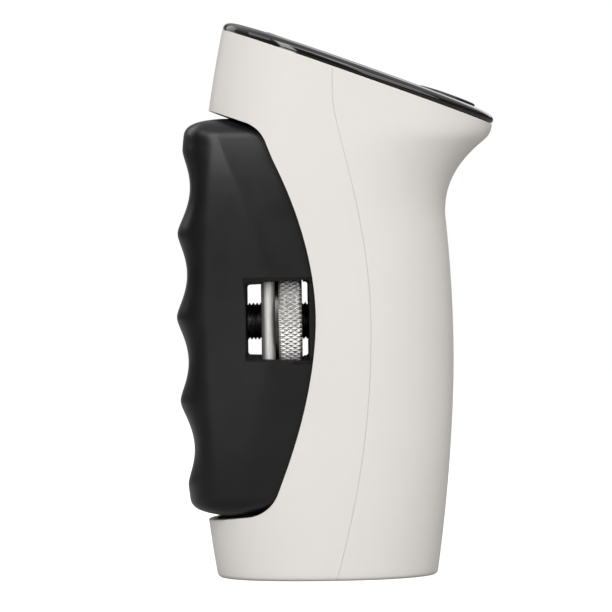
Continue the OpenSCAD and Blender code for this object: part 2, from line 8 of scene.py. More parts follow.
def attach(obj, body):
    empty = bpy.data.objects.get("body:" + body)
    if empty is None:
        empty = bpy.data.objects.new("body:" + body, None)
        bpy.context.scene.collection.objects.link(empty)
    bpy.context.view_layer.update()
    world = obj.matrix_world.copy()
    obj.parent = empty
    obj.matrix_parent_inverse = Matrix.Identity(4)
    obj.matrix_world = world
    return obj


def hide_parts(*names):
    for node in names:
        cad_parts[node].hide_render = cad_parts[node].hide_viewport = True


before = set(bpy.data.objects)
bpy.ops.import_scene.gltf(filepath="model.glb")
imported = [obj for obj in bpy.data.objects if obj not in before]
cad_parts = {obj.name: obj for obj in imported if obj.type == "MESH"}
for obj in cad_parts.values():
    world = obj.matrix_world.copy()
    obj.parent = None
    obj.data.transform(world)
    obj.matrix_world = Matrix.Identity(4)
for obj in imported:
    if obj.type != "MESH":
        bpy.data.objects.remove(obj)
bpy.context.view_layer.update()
scene = bpy.context.scene
MM = 0.001

# ---------------------------------------------------------------- shared outlines, as in the CAD part
SLOPE = math.radians(20)
REF_X, REF_Z = 7, 134.1
MID_X = -3
FRONT_N, PALM_N = 2.3, 2.15
HALF_Y, WALL, FOOT_R = 21.5, 2.2, 1.0
TIP_X, TIP_DROP = 43.0, 1.5
ROD_Z, ROD_R = 68.8, 5.0
TRAVEL = 14


def top_z(x):
    """Height of the slanted end at x."""
    return REF_Z - math.tan(SLOPE) * (x - REF_X)


FRONT_X, FRONT_Z, FRONT_BOW = -38, 65.3, 0.00128


def front_x(z):
    """Finger side of the body at height z: a shallow arc about its lowest x."""
    return FRONT_X + FRONT_BOW * (z - FRONT_Z) ** 2


FOOT_DRAW = 5.1
BELLY_X, BELLY_Z = 31.9, 61
WAIST_X, WAIST_Z = 30.1, 97
FLARE_END, TIP_Z = 117.4, 121


def palm_x(z):
    """Palm side at height z: foot, belly, waist, and the flare out to the tip of the head."""
    z = np.asarray(z, float)
    foot = BELLY_X - FOOT_DRAW * np.clip((BELLY_Z - z) / BELLY_Z, 0, None) ** 1.8
    belly = BELLY_X - (BELLY_X - WAIST_X) * ((z - BELLY_Z) / (WAIST_Z - BELLY_Z)) ** 2
    rise = np.clip((z - WAIST_Z) / (FLARE_END - WAIST_Z), 0, None) ** 2.36
    flare = WAIST_X + (TIP_X - TIP_DROP - WAIST_X) * rise
    tip = TIP_X - TIP_DROP * np.clip((TIP_Z - z) / (TIP_Z - FLARE_END), 0, None) ** 2
    levels = [z < BELLY_Z, z < WAIST_Z, z < FLARE_END, z < TIP_Z]
    return np.select(levels, [foot, belly, flare, tip], TIP_X)


def half_y(x, z, inset=0):
    """Half width of the body at x and z."""
    reach = np.where(x < MID_X, MID_X - front_x(z), palm_x(z) - MID_X)
    n = FRONT_N if x < MID_X else PALM_N
    u = np.minimum(1, abs(x - MID_X) / (reach - inset))
    return float((HALF_Y - inset) * (1 - u**n) ** (1 / n))


def body_ring(v, inset=0.0, z0=0.0, lift=0.0, count=144):
    """Outline of the body at level v, from 0 at the flat base to 1 at the slanted top."""
    a = np.arange(count) * 2 * np.pi / count
    c, s = np.cos(a), np.sin(a)
    c[np.abs(c) < 1e-12] = 0
    s[np.abs(s) < 1e-12] = 0
    n = np.where(c < 0, FRONT_N, PALM_N)
    x = np.zeros(count)
    # A slanted ring's x depends on its z and the other way round; this settles both
    for _ in range(14):
        z = z0 + v * (top_z(x) + lift - z0)
        reach = np.where(c < 0, MID_X - front_x(z), palm_x(z) - MID_X)
        x = MID_X + np.sign(c) * (reach - inset) * np.abs(c) ** (2 / n)
    y = np.sign(s) * (HALF_Y - inset) * np.abs(s) ** (2 / n)
    return np.stack([x, y, z0 + v * (top_z(x) + lift - z0)], 1)


RECESS_X, RECESS_Z = -5.2, 70
PART_X, PART_Z, PART_RISE = 9.4, 68, 60


def recess_x(z):
    """Edge of the body where the handle goes in."""
    if z > RECESS_Z:
        return RECESS_X - 0.0093 * (z - RECESS_Z) ** 1.89
    return RECESS_X - 0.0106 * (RECESS_Z - z) ** 1.8


def parting_x(z):
    """Line between the two shells, seen from the side."""
    if z < PART_Z:
        return PART_X - 0.00218 * (PART_Z - z) ** 2
    if z < PART_Z + PART_RISE:
        return PART_X * (1 - ((z - PART_Z) / PART_RISE) ** 2) ** 1.35
    return 0.0


def fillet(a, p, b, r, steps=16):
    """Arc of radius r in the corner p between a and b."""
    a, p, b = (np.array(q, float) for q in (a, p, b))
    u, w = (a - p) / np.linalg.norm(a - p), (b - p) / np.linalg.norm(b - p)
    half = math.acos(u @ w) / 2
    c = p + (u + w) / np.linalg.norm(u + w) * r / math.sin(half)
    s = p + u * r / math.tan(half) - c
    turn = (math.pi - 2 * half) * np.sign(u[0] * w[1] - u[1] * w[0])
    out = []
    for i in range(steps + 1):
        t = -turn * i / steps
        cos, sin = math.cos(t), math.sin(t)
        out.append(c + [s[0] * cos - s[1] * sin, s[0] * sin + s[1] * cos])
    return out


# ---------------------------------------------------------------- mesh helpers
def new_object(name, points, faces):
    mesh = bpy.data.meshes.new(name)
    mesh.from_pydata((np.asarray(points, float) * MM).tolist(), [], faces)
    mesh.update()
    obj = bpy.data.objects.new(name, mesh)
    scene.collection.objects.link(obj)
    return obj


def loft(name, rings, caps=True, closed=False):
    """Skin through rings of equal length, each counterclockwise seen from the next one's side."""
    n, m = len(rings[0]), len(rings)
    points = np.concatenate(rings)
    faces = []
    for k in range(m if closed else m - 1):
        a, b = k * n, (k + 1) % m * n
        faces += [(a + i, a + (i + 1) % n, b + (i + 1) % n, b + i) for i in range(n)]
    if caps:
        faces.append(tuple(range(n - 1, -1, -1)))
        faces.append(tuple((m - 1) * n + i for i in range(n)))
    return new_object(name, points, faces)


def prism_y(name, outline, y0, y1):
    """Outline in (x, z), run from y0 to y1."""
    following = list(outline[1:]) + [outline[0]]
    area = sum(a[0] * b[1] - b[0] * a[1] for a, b in zip(outline, following))
    if area > 0:
        outline = list(outline)[::-1]
    rings = [np.array([(x, y, z) for x, z in outline]) for y in (y0, y1)]
    return loft(name, rings)


def box(name, x, y, z):
    return prism_y(name, [(x[0], z[0]), (x[1], z[0]), (x[1], z[1]), (x[0], z[1])], y[0], y[1])


def turned(name, profile, sides):
    """Profile of (radius, height) pairs, bottom first, turned about Z."""
    rings = []
    for r, h in profile:
        a = np.arange(sides) * 2 * np.pi / sides
        rings.append(np.stack([r * np.cos(a), r * np.sin(a), np.full(sides, h)], 1))
    return loft(name, rings)


def place(obj, matrix):
    obj.data.transform(matrix)
    obj.data.update()
    return obj


TO_X = Matrix.Rotation(math.pi / 2, 4, "Y")
TO_Y = Matrix.Rotation(-math.pi / 2, 4, "X")


def at(x, y, z):
    return Matrix.Translation((x * MM, y * MM, z * MM))


ON_TOP = at(REF_X, 0, REF_Z) @ Matrix.Rotation(SLOPE, 4, "Y")


def rod_x(name, x0, x1, y, z, r):
    """Plain cylinder along X."""
    return place(turned(name, [(r, x0), (r, x1)], 96), at(0, y, z) @ TO_X)


def rod_y(name, x, z, y0, y1, r):
    """Plain cylinder along Y."""
    return place(turned(name, [(r, y0), (r, y1)], 48), at(x, 0, z) @ TO_Y)


def bake(obj):
    """Applies the object's modifiers."""
    bpy.context.view_layer.update()
    graph = bpy.context.evaluated_depsgraph_get()
    mesh = bpy.data.meshes.new_from_object(obj.evaluated_get(graph))
    obj.modifiers.clear()
    obj.data = mesh


def cut(obj, *tools):
    """Takes each tool's shape away from obj, and drops the tool."""
    for tool in tools:
        modifier = obj.modifiers.new("cut", "BOOLEAN")
        modifier.operation = "DIFFERENCE"
        modifier.solver = "EXACT"
        modifier.object = tool
        bake(obj)
        bpy.data.objects.remove(tool)
    return obj


def smooth(obj, degrees=30):
    obj.data.shade_smooth()
    obj.data.set_sharp_from_angle(angle=math.radians(degrees))
    return obj


# ---------------------------------------------------------------- materials
def node_setup(name):
    material = bpy.data.materials.new(name)
    material.use_nodes = True
    tree = material.node_tree
    shader = tree.nodes["Principled BSDF"]
    return material, tree, shader


def add(tree, kind, **values):
    node = tree.nodes.new(kind)
    for key, value in values.items():
        if key in node.inputs:
            node.inputs[key].default_value = value
        else:
            setattr(node, key, value)
    return node


def object_space(tree, scale=(1, 1, 1)):
    where = add(tree, "ShaderNodeTexCoord")
    mapping = add(tree, "ShaderNodeMapping")
    mapping.inputs["Scale"].default_value = scale
    tree.links.new(where.outputs["Object"], mapping.inputs["Vector"])
    return mapping.outputs["Vector"]


def noise(tree, vector, scale, detail=2.0, rough=0.5):
    node = add(tree, "ShaderNodeTexNoise")
    node.inputs["Scale"].default_value = scale
    node.inputs["Detail"].default_value = detail
    node.inputs["Roughness"].default_value = rough
    tree.links.new(vector, node.inputs["Vector"])
    return node.outputs["Fac"]


def spread(tree, value, low, high, start=0.3, end=0.7):
    """Maps value from start..end to low..high; noise mostly stays between 0.3 and 0.7."""
    node = add(tree, "ShaderNodeMapRange")
    node.inputs["From Min"].default_value = start
    node.inputs["From Max"].default_value = end
    node.inputs["To Min"].default_value = low
    node.inputs["To Max"].default_value = high
    tree.links.new(value, node.inputs["Value"])
    return node.outputs["Result"]


def blend_colors(tree, factor, a, b):
    node = add(tree, "ShaderNodeMix", data_type="RGBA")
    for socket in node.inputs:
        if socket.name == "A" and socket.type == "RGBA":
            socket.default_value = (*a, 1)
        if socket.name == "B" and socket.type == "RGBA":
            socket.default_value = (*b, 1)
    tree.links.new(factor, node.inputs["Factor"])
    return [o for o in node.outputs if o.type == "RGBA"][0]


def bump(tree, shader, height, strength, distance, edge=0.0):
    """Fine relief, distance in metres, over edges rounded by a radius in millimetres."""
    node = add(tree, "ShaderNodeBump")
    node.inputs["Strength"].default_value = strength
    node.inputs["Distance"].default_value = distance
    tree.links.new(height, node.inputs["Height"])
    if edge:
        round_edge = add(tree, "ShaderNodeBevel", samples=6)
        round_edge.inputs["Radius"].default_value = edge * MM
        tree.links.new(round_edge.outputs["Normal"], node.inputs["Normal"])
    tree.links.new(node.outputs["Normal"], shader.inputs["Normal"])


def plastic(name, light, dark, rough, grain, depth, cloud=35, specular=0.5, coat=0.0, edge=0.0):
    """Moulded plastic: slow tone drift, patchy roughness and a fine moulded grain."""
    material, tree, shader = node_setup(name)
    space = object_space(tree)
    tone = spread(tree, noise(tree, space, cloud, 3), 0, 1)
    tree.links.new(blend_colors(tree, tone, light, dark), shader.inputs["Base Color"])
    patch = noise(tree, space, cloud * 4, 3)
    tree.links.new(spread(tree, patch, rough[0], rough[1]), shader.inputs["Roughness"])
    bump(tree, shader, noise(tree, space, grain, 2), 1.0, depth, edge)
    shader.inputs["Specular IOR Level"].default_value = specular
    shader.inputs["Coat Weight"].default_value = coat
    shader.inputs["Coat Roughness"].default_value = 0.05
    return material


def metal(name, light, dark, rough, stretch, depth):
    """Drawn or brushed metal: streaks of tone, roughness and height along one direction."""
    material, tree, shader = node_setup(name)
    space = object_space(tree, stretch)
    streaks = noise(tree, space, 1.0, 4, 0.6)
    tone = spread(tree, streaks, 0, 1)
    tree.links.new(blend_colors(tree, tone, light, dark), shader.inputs["Base Color"])
    tree.links.new(spread(tree, streaks, rough[1], rough[0]), shader.inputs["Roughness"])
    bump(tree, shader, streaks, 1.0, depth)
    shader.inputs["Metallic"].default_value = 1.0
    return material


WAVES_PER_UNIT = 3.2  # rings in one unit of length at scale 1, about 20 / (2 pi)


def turned_metal(name, light, dark, rough, pitch, depth):
    """Metal turned on a lathe: fine rings about the rod's axis, over a slow tone drift."""
    material, tree, shader = node_setup(name)
    where = add(tree, "ShaderNodeTexCoord")
    shift = add(tree, "ShaderNodeVectorMath", operation="SUBTRACT")
    shift.inputs[1].default_value = (0, 0, ROD_Z * MM)
    tree.links.new(where.outputs["Object"], shift.inputs[0])
    wave = add(tree, "ShaderNodeTexWave", wave_type="RINGS", rings_direction="X")
    wave.inputs["Scale"].default_value = 1 / (pitch * MM * WAVES_PER_UNIT)
    wave.inputs["Distortion"].default_value = 0.6
    tree.links.new(shift.outputs["Vector"], wave.inputs["Vector"])
    space = object_space(tree)
    tone = spread(tree, noise(tree, space, 300, 4), 0, 1)
    tree.links.new(blend_colors(tree, tone, light, dark), shader.inputs["Base Color"])
    patch = spread(tree, noise(tree, space, 900, 3), rough[0], rough[1])
    tree.links.new(patch, shader.inputs["Roughness"])
    bump(tree, shader, wave.outputs["Fac"], 0.6, depth)
    shader.inputs["Metallic"].default_value = 1.0
    return material


# Plastics: light and dark tone, roughness range, grain scale and depth
IVORY = plastic(
    "ivory_moulded", (0.835, 0.805, 0.766), (0.81, 0.781, 0.743), (0.42, 0.5), 3200, 3.0e-6,
    specular=0.45, edge=0.12,
)
GRIP = plastic(
    "grip_satin_black", (0.0068, 0.0068, 0.0075), (0.0056, 0.0056, 0.0062), (0.30, 0.37), 4200, 6.0e-6,
    specular=0.42, edge=0.25,
)
GLOSS = plastic(
    "cover_gloss_black", (0.006, 0.006, 0.0065), (0.0045, 0.0045, 0.005), (0.07, 0.12), 700, 0.6e-6,
    coat=0.5,
)
# Painted shade: a darker, duller black than the grip, for the window's walls and the room behind them where
# shade falls
PAINTED_SHADE_INSIDE = plastic(
    "grip_inside_painted_shade", (0.006, 0.006, 0.0065), (0.004, 0.004, 0.0045), (0.55, 0.7), 2600, 8.0e-6,
    specular=0.2,
)
BUTTON = plastic(
    "button_satin_black", (0.010, 0.010, 0.011), (0.0075, 0.0075, 0.008), (0.3, 0.38), 3600, 4.0e-6,
)
NYLON = plastic("nylon_dark", (0.035, 0.035, 0.037), (0.024, 0.024, 0.026), (0.5, 0.65), 2400, 12.0e-6)
MATTE = plastic("buzzer_black", (0.03, 0.03, 0.03), (0.02, 0.02, 0.02), (0.6, 0.75), 2400, 10.0e-6)
BOARD = plastic(
    "board_green", (0.02, 0.11, 0.05), (0.012, 0.075, 0.035), (0.3, 0.45), 1500, 8.0e-6, cloud=180,
)
LCD = plastic("lcd_grey_green", (0.17, 0.20, 0.165), (0.155, 0.185, 0.15), (0.25, 0.32), 5000, 1.0e-6)
WRAP = plastic(
    "cell_sleeve", (0.035, 0.11, 0.085), (0.03, 0.095, 0.07), (0.2, 0.3), 900, 4.0e-6, cloud=90, coat=0.3,
)
WIRE = plastic("wire_red", (0.35, 0.02, 0.015), (0.28, 0.015, 0.012), (0.35, 0.45), 1800, 4.0e-6)
FOIL = plastic(
    "gauge_film", (0.55, 0.24, 0.04), (0.46, 0.19, 0.03), (0.25, 0.4), 2500, 2.0e-6, cloud=200,
)

# Metals: light and dark tone, roughness range, streaks per metre along each axis, depth of the streaks
BAR = metal("bar_brushed", (0.90, 0.885, 0.86), (0.66, 0.648, 0.625), (0.46, 0.6), (2600, 2600, 26), 5.0e-6)
SCREW = metal("screw_plated", (0.58, 0.58, 0.57), (0.40, 0.40, 0.39), (0.3, 0.45), (900, 900, 900), 4.0e-6)
CONTACT = metal("contact_nickel", (0.66, 0.64, 0.60), (0.5, 0.49, 0.46), (0.2, 0.35), (120, 900, 900), 3.0e-6)
SPRING = metal("spring_wire", (0.60, 0.60, 0.58), (0.44, 0.44, 0.42), (0.25, 0.38), (900, 900, 120), 3.0e-6)
CELL_METAL = metal(
    "load_cell_machined", (0.72, 0.73, 0.74), (0.58, 0.59, 0.60), (0.28, 0.42), (1500, 1500, 60), 4.0e-6,
)
OXIDE = metal(
    "rod_black_oxide", (0.36, 0.36, 0.365), (0.2, 0.2, 0.205), (0.28, 0.4), (700, 700, 700), 4.0e-6,
)
PIN = metal("pin_ground", (0.72, 0.72, 0.71), (0.6, 0.6, 0.59), (0.12, 0.22), (60, 1600, 1600), 1.5e-6)
# Painted shade: ground steel made dark grey, far below its own tone, to show the shade in the narrow gap
# between the bar and the wheel
WASHER_PAINTED_SHADE = metal("washer_ground_painted_shade", (0.15, 0.15, 0.148), (0.09, 0.09, 0.09), (0.3, 0.42), (700, 700, 700), 2.0e-6)
BRONZE = turned_metal("bronze_turned", (0.55, 0.36, 0.16), (0.42, 0.27, 0.11), (0.25, 0.4), 0.22, 3.0e-6)
WHEEL = turned_metal("wheel_turned", (0.74, 0.728, 0.707), (0.55, 0.54, 0.523), (0.34, 0.46), 0.2, 3.0e-6)


def tinted_glass(name):
    material, tree, shader = node_setup(name)
    space = object_space(tree)
    tree.links.new(spread(tree, noise(tree, space, 60, 3), 0.03, 0.07), shader.inputs["Roughness"])
    tint = spread(tree, noise(tree, space, 25, 2), 0, 1)
    color = blend_colors(tree, tint, (0.012, 0.013, 0.015), (0.009, 0.010, 0.012))
    tree.links.new(color, shader.inputs["Base Color"])
    bump(tree, shader, noise(tree, space, 220, 2), 0.4, 0.5e-6)
    shader.inputs["Coat Weight"].default_value = 0.6
    shader.inputs["Coat Roughness"].default_value = 0.03
    shader.inputs["Alpha"].default_value = 0.72
    return material


LENS = tinted_glass("display_tint")


def finish_piece(obj, node, material, body, degrees=30):
    """Gives obj its material, and puts it on its body in place of a CAD node."""
    obj.data.materials.clear()
    obj.data.materials.append(material)
    smooth(obj, degrees)
    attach(obj, body)
    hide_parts(node)
    return obj


# ---------------------------------------------------------------- body shells
LEVELS = 100
FOOT_V = FOOT_R / REF_Z
FOOT_ANGLES = np.radians([0, 22.5, 45, 67.5])


def outer_body(name):
    foot = [body_ring(FOOT_V * (1 - math.cos(t)), FOOT_R * (1 - math.sin(t))) for t in FOOT_ANGLES]
    walls = [body_ring(FOOT_V + (1 - FOOT_V) * k / LEVELS) for k in range(LEVELS + 1)]
    return loft(name, foot + walls)


def cavity(name):
    return loft(name, [body_ring(k / 50, WALL, WALL, 2, 96) for k in range(51)])


# Outline of the recess that the handle sits in, from the lip under the head down to the lower rim
LEFT = -60
LIP, RIM = (-19.5, 120.7), (-18, 17.5)
LIP_R, RIM_R = 9, 10
RECESS_TOP, RECESS_END = 112, 28
LIP_END = (LEFT, LIP[1] - math.tan(SLOPE) * (LEFT - LIP[0]))
RIM_END = (LEFT, RIM[1] - 5)
recess = (
    [LIP_END]
    + fillet(LIP_END, LIP, (recess_x(RECESS_TOP), RECESS_TOP), LIP_R)
    + [(recess_x(z), z) for z in np.arange(RECESS_TOP, RECESS_END - 0.1, -1.5)]
    + fillet((recess_x(RECESS_END), RECESS_END), RIM, RIM_END, RIM_R)
    + [RIM_END]
)

PARTING = 0.02  # each shell stays this far from the line between them


def side_of_parting(name, gap, sign):
    """Everything behind (1) or in front of (-1) the parting line, kept off it by gap."""
    heights = [-5.0] + list(np.arange(0, 128.1, 1.0)) + [170.0]
    line = [(parting_x(z) - gap, z) for z in heights]
    far = 70 * sign
    return prism_y(name, [(far, -5)] + line + [(far, 170)], -30, 30)


front = cut(
    outer_body("front_shell_skin"),
    cavity("c"),
    prism_y("r", recess, -40, 40),
    side_of_parting("p", PARTING, 1),
)
finish_piece(front, "front_shell", IVORY, "body")

DOOR_X, DOOR_Y = (9.8, 20.8), 11
rear = cut(
    outer_body("rear_shell_skin"),
    cavity("c"),
    side_of_parting("p", -PARTING, -1),
    box("d", DOOR_X, (-DOOR_Y, DOOR_Y), (-1, WALL + 1)),
)
finish_piece(rear, "rear_shell", IVORY, "body")

# ---------------------------------------------------------------- display end
outline = body_ring(1, count=192)
outline = np.stack([(outline[:, 0] - REF_X) / math.cos(SLOPE), outline[:, 1]], 1)
COVER_CENTRE, COVER_REACH = -6, 40


def cover_ring(scale, inset, height):
    """The cover's outline drawn in by inset and scaled about the middle of its dome."""
    factor = scale - inset / COVER_REACH
    x = COVER_CENTRE + (outline[:, 0] - COVER_CENTRE) * factor
    return np.column_stack([x, outline[:, 1] * factor, np.full(len(outline), height)])


# Scale, inset and height of the cover's rings, from under its rim to the middle of the dome
cover_profile = [
    (1, 0.4, 0.0), (1, 0.4, 0.3), (1, 0.12, 0.35), (1, 0.02, 0.43), (1, 0, 0.6), (1, 0, 1.15),
    (0.997, 0, 1.5), (0.991, 0, 1.8), (0.982, 0, 2.08), (0.971, 0, 2.31), (0.958, 0, 2.5),
    (0.943, 0, 2.63), (0.925, 0, 2.72), (0.90, 0, 2.8), (0.87, 0, 2.88), (0.83, 0, 2.965),
    (0.78, 0, 3.055), (0.72, 0, 3.14), (0.65, 0, 3.22), (0.55, 0, 3.33), (0.45, 0, 3.42),
    (0.35, 0, 3.48), (0.25, 0, 3.52), (0.1, 0, 3.56),
]
LENS_T, LENS_Y, LENS_Z = (-27, 9), 12, (2.2, 3.2)
VIEW_T, VIEW_Y = (-23.6, 7), 10
BUTTON_T, BUTTON_R = 24.3, 8.0
CORNER_STEPS = 10


def rounded_plate(name, t, half, z, r, edge=0.0):
    """Flat plate with rounded corners; edge softens its upper rim."""
    x0, x1, y1 = t[0] + r, t[1] - r, half - r
    corners = ((x1, y1, 0), (x0, y1, 90), (x0, -y1, 180), (x1, -y1, 270))

    def ring(inset, height):
        points = []
        for cx, cy, start in corners:
            for k in range(CORNER_STEPS + 1):
                a = math.radians(start + 90 * k / CORNER_STEPS)
                points.append((cx + (r - inset) * math.cos(a), cy + (r - inset) * math.sin(a), height))
        return np.array(points)

    rings = [ring(0, z[0]), ring(0, z[1] - edge)]
    if edge:
        for a in np.radians([30, 60, 90]):
            rings.append(ring(edge * (1 - math.cos(a)), z[1] - edge * (1 - math.sin(a))))
        rings.append(ring(edge + 0.3, z[1]))  # keeps the flat top flat when it is shaded smooth
    return loft(name, rings)


cover = loft("top_cover_skin", [cover_ring(*p) for p in cover_profile])
LENS_GAP, BUTTON_GAP = 0.1, 0.3
lens_bed = (LENS_T[0] - LENS_GAP, LENS_T[1] + LENS_GAP)
button_hole = BUTTON_R + BUTTON_GAP
cut(
    cover,
    rounded_plate("l", lens_bed, LENS_Y + LENS_GAP, (LENS_Z[0], 5), 2 + LENS_GAP),
    rounded_plate("v", VIEW_T, VIEW_Y, (-1, 3), 0.8),
    turned("b", [(button_hole, -1), (button_hole, 6)], 96),
)
place(cover, ON_TOP)
finish_piece(cover, "top_cover", GLOSS, "body", 32)

lens = place(rounded_plate("display_lens_plate", LENS_T, LENS_Y, LENS_Z, 2, edge=0.15), ON_TOP)
finish_piece(lens, "display_lens", LENS, "body")

BUTTON_SIDE, BUTTON_RIM, BUTTON_CROWN = 3.2, 3.65, 0.35
BUTTON_EDGE = BUTTON_RIM - BUTTON_SIDE
FLANGE_R, FLANGE_Z = BUTTON_R + 1, (-0.9, -0.05)
button_profile = [(FLANGE_R, FLANGE_Z[0]), (FLANGE_R, FLANGE_Z[1])]
button_profile += [(BUTTON_R, FLANGE_Z[1]), (BUTTON_R, BUTTON_SIDE)]
button_profile += [
    (BUTTON_R - BUTTON_EDGE * (1 - math.cos(a)), BUTTON_SIDE + BUTTON_EDGE * math.sin(a))
    for a in np.radians([15, 30, 45, 60, 75, 90])
]
button_profile += [
    (BUTTON_R * u, BUTTON_RIM + BUTTON_CROWN * (0.88 - u * u))
    for u in (0.9, 0.84, 0.76, 0.6, 0.45, 0.3, 0.15, 0.04)
]
button = turned("power_button_cap", button_profile, 128)
place(button, ON_TOP @ at(BUTTON_T, 0, 0))
finish_piece(button, "power_button", BUTTON, "button", 40)

# ---------------------------------------------------------------- handle
GRIP_Z = (16.9, 123.4)
GRIP_WALL = 1.8
PITCH, DEPTH = 22.7, 2.85
RIDGE_Z = ROD_Z + 1.35
END_R, END_DROP, END_NARROWING, END_FLAT, END_WALL = 5, 11.5, 6, 4.5, 3
SIDE_SLOPE, SIDE_TAPER, CORNER = 0.155, 0.1, 9
NOSE_LEAD, NOSE_TIP = 0.6, 0.7
GROOVE_SOFT = 0.22


def groove(z):
    """Depth of the finger grooves at height z, from 0 on a ridge to 1."""
    if abs(z - RIDGE_Z) > 2 * PITCH:
        return 0.0
    s = math.sin(math.pi * (z - RIDGE_Z) / PITCH)
    return (math.hypot(s, GROOVE_SOFT) - GROOVE_SOFT) / (math.hypot(1, GROOVE_SOFT) - GROOVE_SOFT)


def end_inset(z):
    """How far the rounded ends draw the outline in, from 0 to 1 at the very end."""
    d = min(z - GRIP_Z[0], GRIP_Z[1] - z)
    return 0.0 if d >= END_R else 1 - math.sqrt(max(0.0, 1 - (1 - max(d, 0) / END_R) ** 2))


NOSE_X, NOSE_Z, NOSE_BOW = -42.7, 72, 0.00113
FLAT_WIDTH, FLAT_GROWTH, FLAT_Z, FLAT_ENDS = 12.6, 0.025, 64, 3


def ridge_x(z):
    """Finger side of the handle at height z, measured on the ridges between the grooves."""
    return NOSE_X + NOSE_BOW * (z - NOSE_Z) ** 2


def crease_x(z):
    """Where the handle's flat side turns into the slope towards the fingers."""
    flat = FLAT_WIDTH + FLAT_GROWTH * (z - FLAT_Z) - FLAT_ENDS * (abs(z - RECESS_Z) / 50) ** 4
    return recess_x(z) - flat


def crease_radius(z):
    """Softness of the crease: sharp at the top end and half sharp at the bottom end."""
    return 0.35 + 1.5 * min(1, max(0, (113 - z) / 22)) * min(1, max(0.3, (z - 18) / 8))


def grip_ring(z, inset, steps):
    """Flat side, soft crease, sloping plane, and the rounded finger side with its grooves."""
    e = 0.0 if inset else end_inset(z)
    mouth = recess_x(z)
    y = half_y(mouth, z, WALL) - 0.5 - inset - END_NARROWING * e
    back = mouth + TRAVEL + 1 + inset
    depth = DEPTH * (1 if inset else groove(z))
    tip_x = ridge_x(z) + inset + END_DROP * e**1.5
    crease = max(crease_x(z), tip_x + END_FLAT)
    start_x = min(tip_x + CORNER, crease - 1.5)
    start = np.array([start_x, y - SIDE_SLOPE * (crease - start_x)])
    lead = start - NOSE_LEAD * (start_x - tip_x) * np.array([1, SIDE_SLOPE])
    last = np.array([tip_x, NOSE_TIP * start[1]])
    tip = np.array([tip_x, 0.0])
    soft = min(crease_radius(z), 0.4 * (crease - start_x))
    half = [(back, y - SIDE_TAPER * (back - mouth))]
    half += [(mouth + (crease + soft - mouth) * k, y) for k in (0, 0.25, 0.5, 0.75, 0.93, 1)]
    half.append((crease, y - SIDE_SLOPE * soft * 0.25))
    for k in (0, 0.1, 0.3, 0.6, 0.85):
        x = crease - soft + (start_x - crease + soft) * k
        half.append((x, y - SIDE_SLOPE * (crease - x)))
    for k in range(steps + 1):
        t = k / steps
        u = 1 - t
        q = u**3 * start + 3 * t * u**2 * lead + 3 * t * t * u * last + t**3 * tip
        half.append((q[0] + depth * t * t * (3 - 2 * t), max(q[1], 0.0)))
    half[-1] = (half[-1][0], 0.0)
    ring = half + [(x, -yy) for x, yy in half[-2::-1]]
    return np.array([(x, yy, z) for x, yy in ring])


ends = [0, 0.08, 0.2, 0.4, 0.7, 1.1, 1.6, 2.2, 2.9, 3.7, 4.5]
FIRST_LEVEL = 5.3
grip_levels = [GRIP_Z[0] + d for d in ends]
grip_levels += list(np.linspace(GRIP_Z[0] + FIRST_LEVEL, GRIP_Z[1] - FIRST_LEVEL, 104))
grip_levels += [GRIP_Z[1] - d for d in reversed(ends)]

# The window's outline at the handle's side and at its middle plane, and the parts that sit in it
WINDOW = [(-23.9, 79.5), (-6.9, 80.3), (-6.9, 58.4), (-23.9, 58.9)]
WINDOW_MID = [(-23.5, 78.6), (-7.4, 79.3), (-7.4, 59.4), (-23.5, 59.9)]
WINDOW_CORNER, WINDOW_Y, BEYOND_Y = 0.7, 19, 26
BAR_X = (-19.75, -16.05)
BAR_Z = (ROD_Z - 18.8, ROD_Z + 18.8)
BAR_HALF_Y, BAR_BREAK = 14.5, 0.5
WHEEL_X = (-15.1, -8.9)
WHEEL_R = 17.4
ROD_ROOM = (-30, 0)
HOLE_R = ROD_R + 0.4
HANDLE_SCREWS = [(-32.5, 59.4), (-32.5, 81.8), (-27, 115.5), (-27, 23)]
HEAD_R, HEAD_Y = 2.3, 9
HALF_GAP = 0.03
TUNNEL = ((-25.4, -5.4), (-20, 20), (56.6, 82.2))


def rounded(corners, r):
    """The corners joined up with arcs of radius r in them."""
    out = []
    for k, p in enumerate(corners):
        out += fillet(corners[k - 1], p, corners[(k + 1) % len(corners)], r, 6)
    return [(q[0], q[1]) for q in out]


def window_cutter(name, side):
    """Opens the window on one side, with soft corners and walls that flare outwards."""
    inner, outer = rounded(WINDOW_MID, WINDOW_CORNER), rounded(WINDOW, WINDOW_CORNER)
    middle = (WINDOW[0][0] + WINDOW[1][0]) / 2
    beyond = [(x + (x - middle) * 0.02, z) for x, z in outer]
    rings = [
        np.array([(x, y, z) for x, z in shape])
        for y, shape in ((0, inner), (side * WINDOW_Y, outer), (side * BEYOND_Y, beyond))
    ]
    if side < 0:
        rings = [r[::-1] for r in rings]
    return loft(name, rings)


